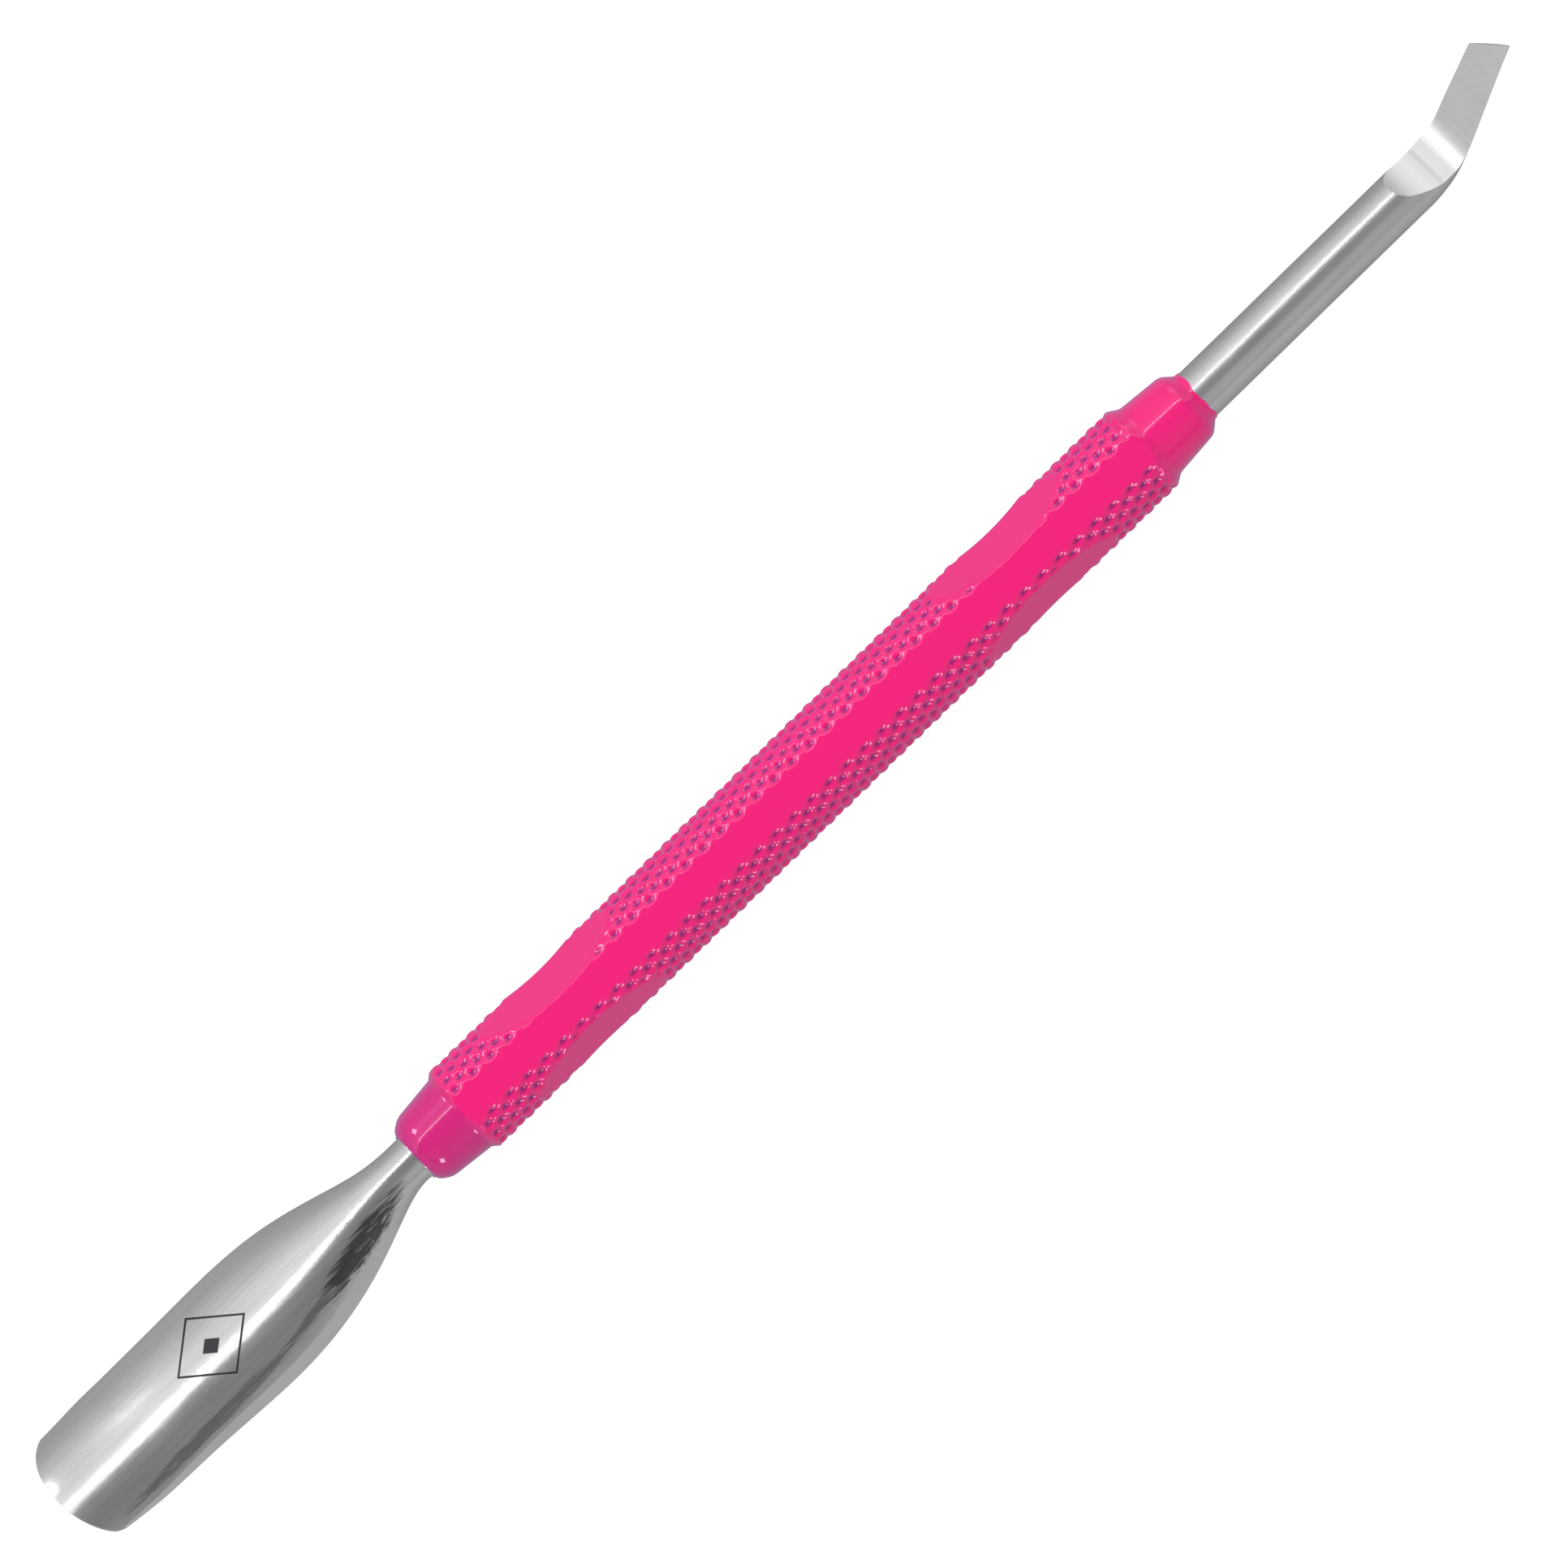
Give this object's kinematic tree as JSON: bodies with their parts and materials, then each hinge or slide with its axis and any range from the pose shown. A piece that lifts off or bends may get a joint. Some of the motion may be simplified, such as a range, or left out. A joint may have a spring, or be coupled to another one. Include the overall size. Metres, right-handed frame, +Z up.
{
  "type": "cuticle pusher",
  "caption": "Double-ended cuticle pusher: knurled, plastic-coated steel handle with finger scallops, a forged spoon pusher at one end and a bent scraper blade at the other.",
  "frame": {"origin": "middle of the long flat that the handle rests on", "axes": "+X runs along the tool from the spoon pusher to the scraper blade, +Z points up, off the rest flat"},
  "size_m": [0.1392, 0.0093, 0.0096],
  "materials": {
    "core_steel": "turned stainless steel, sealed under the coating",
    "grip_coating": "glossy hot pink dipped coating, dimpled by the knurl under it",
    "spoon_steel": "forged stainless steel, satin ground lengthwise, with fine scratches",
    "blade_steel": "stainless steel, drawn satin shank and matt wheel-ground blade face"
  },
  "bodies": {
    "root": {"handle_core": "core_steel", "grip_coating": "grip_coating", "spoon_pusher": "spoon_steel", "scraper_blade": "blade_steel"}
  },
  "joints": []
}
